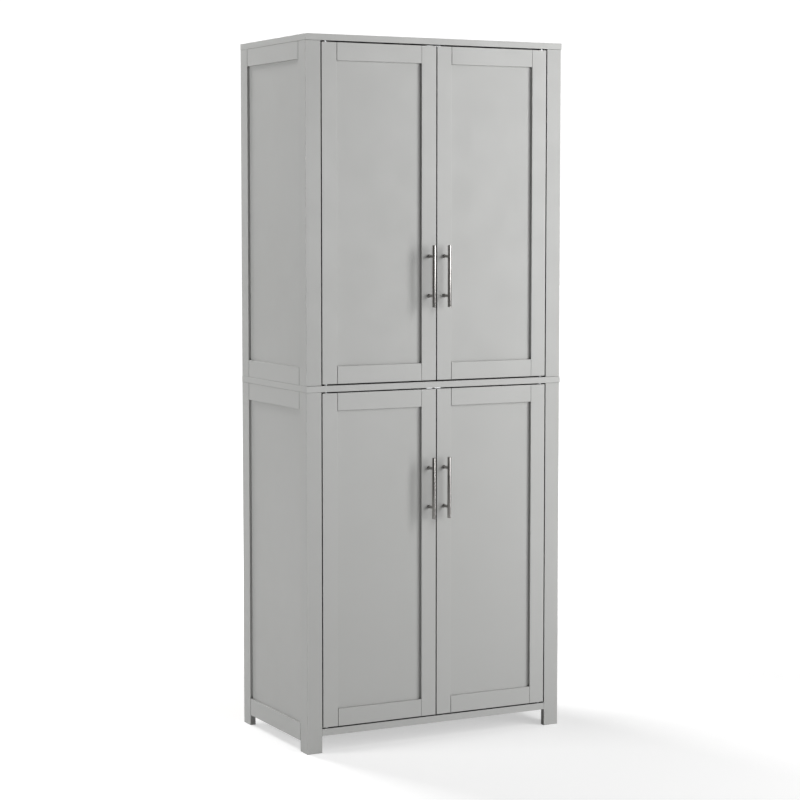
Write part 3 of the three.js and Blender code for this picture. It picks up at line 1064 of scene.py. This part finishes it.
def catch(tier):
    node = f"{tier}_magnetic_catch"
    low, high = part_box(node)
    bm = bmesh.new()
    add_box(bm, low, high)
    piece = eased(f"moulded_{node}", to_mesh(bm, node), white_plastic, radius=1.2 * MM)
    stand_for(piece, node)

    poles = bmesh.new()
    middle_z = (low.z + high.z) / 2
    for side in SIDES:
        centre = SIGN[side] * POLE_OFFSET
        for row in (-1, 1):
            z = middle_z + row * POLE_ROW_OFFSET
            pole_low = (centre - POLE_HALF_WIDTH, low.y - 0.25 * MM, z - POLE_HALF_HEIGHT)
            pole_high = (centre + POLE_HALF_WIDTH, low.y + 3 * MM, z + POLE_HALF_HEIGHT)
            add_box(poles, pole_low, pole_high)
    pole_piece = eased(f"{tier}_catch_pole_strips", to_mesh(poles, "poles"), bright_steel, radius=0.15 * MM)
    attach(pole_piece, body_of[node])

    for side in SIDES:
        plate = bmesh.new()
        centre = SIGN[side] * POLE_OFFSET
        add_box(
            plate, (centre - PLATE_HALF_WIDTH, door_back_y - 0.1 * MM, low.z + MM),
            (centre + PLATE_HALF_WIDTH, door_back_y + 0.3 * MM, high.z - MM),
        )
        plate_mesh = to_mesh(plate, "plate")
        plate_piece = eased(f"{tier}_{side}_strike_plate", plate_mesh, bright_steel, radius=0.12 * MM)
        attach(plate_piece, f"{tier}_{side}_door")


for tier in TIERS:
    catch(tier)

# %% [markdown]
# The stage is a plain white floor in a white surrounding. A studio lights both so strongly that they
# run together without a horizon. The floor here does that with a lift: a part of its white shows to
# the camera only, and so lights nothing, which keeps its shadows pale. The lift grows with distance
# from the cabinet until the floor is as white as the surrounding. The surrounding does the same: it
# shows white, and lights the cabinet with a soft grey.

# %% Stage
FLOOR_REACH = 30.0
FLOOR_WHITE = 0.62
FLOOR_LIFT = 0.493
FLOOR_NEAR = 1.3
FLOOR_FAR = 2.8
ROOM_LIGHT = 0.096
BACKDROP_WHITE = 1.1


def white_floor():
    material = bpy.data.materials.new("studio_white")
    material.use_nodes = True
    tree = material.node_tree
    shader = next(n for n in tree.nodes if n.type == "BSDF_PRINCIPLED")
    shader.inputs["Base Color"].default_value = (FLOOR_WHITE, FLOOR_WHITE, FLOOR_WHITE, 1.0)
    shader.inputs["Roughness"].default_value = 0.9
    shader.inputs["Specular IOR Level"].default_value = 0.0
    shader.inputs["Emission Color"].default_value = (1.0, 1.0, 1.0, 1.0)
    place = tree.nodes.new("ShaderNodeTexCoord").outputs["Object"]
    distance = tree.nodes.new("ShaderNodeVectorMath")
    distance.operation = "LENGTH"
    tree.links.new(place, distance.inputs[0])
    fade = add_range(tree, distance.outputs["Value"], FLOOR_LIFT, BACKDROP_WHITE, FLOOR_NEAR, FLOOR_FAR)
    path = tree.nodes.new("ShaderNodeLightPath")
    lift = tree.nodes.new("ShaderNodeMath")
    lift.operation = "MULTIPLY"
    tree.links.new(path.outputs["Is Camera Ray"], lift.inputs[0])
    tree.links.new(fade, lift.inputs[1])
    tree.links.new(lift.outputs["Value"], shader.inputs["Emission Strength"])
    return material


def stage():
    bm = bmesh.new()
    bmesh.ops.create_grid(bm, x_segments=1, y_segments=1, size=FLOOR_REACH)
    new_object("studio_floor", to_mesh(bm, "studio_floor"), white_floor())

    world = bpy.data.worlds.new("studio_surround")
    world.use_nodes = True
    tree = world.node_tree
    path = tree.nodes.new("ShaderNodeLightPath")
    strength = tree.nodes.new("ShaderNodeMapRange")
    strength.inputs["To Min"].default_value = ROOM_LIGHT
    strength.inputs["To Max"].default_value = BACKDROP_WHITE
    tree.links.new(path.outputs["Is Camera Ray"], strength.inputs["Value"])
    background = tree.nodes["Background"]
    background.inputs["Color"].default_value = (1.0, 1.0, 1.0, 1.0)
    tree.links.new(strength.outputs["Result"], background.inputs["Strength"])
    bpy.context.scene.world = world
    bpy.context.scene.view_settings.view_transform = "Standard"


stage()

# %% [markdown]
# Soft boxes light it. A tall strip at the front right is the key: it makes the front brighter
# towards the right and the top, and draws the soft shadow beside each handle. A small strip below it
# puts a bright line on the lower handles, and a broad box in front fills the doors. A box at the
# left, a little behind, shows the side and stays out of reflections, so that the handles keep a dark
# left edge. A high one behind lays the pale shadow on the floor. None of them shows to the camera.

# %% Soft boxes
SOFT_BOXES = [
    ("key_strip", (1.8, -1.7, 1.9), (0.0, -0.2, 1.2), 28.0, (0.5, 1.6), True),
    ("low_strip", (1.8, -1.7, 0.31), (0.0, -0.2, 0.5), 5.4, (0.3, 0.6), True),
    ("front_box", (2.1, -4.8, 1.65), (0.0, 0.0, 1.05), 126.0, (4.0, 2.4), True),
    ("left_box", (-3.4, 0.45, 1.6), (-0.37, 0.0, 1.0), 56.0, (1.2, 2.2), False),
    ("back_box", (-1.0, 3.5, 3.5), (0.0, 0.0, 0.0), 160.0, (1.5, 1.5), True),
]


def soft_box(name, place, target, energy, size, mirrored):
    data = bpy.data.lights.new(name, "AREA")
    data.energy = energy
    data.shape = "RECTANGLE"
    data.size, data.size_y = size
    lamp = bpy.data.objects.new(name, data)
    lamp.location = place
    lamp.rotation_euler = (Vector(target) - Vector(place)).to_track_quat("-Z", "Y").to_euler()
    lamp.visible_camera = False
    lamp.visible_glossy = mirrored
    bpy.context.scene.collection.objects.link(lamp)


for box in SOFT_BOXES:
    soft_box(*box)
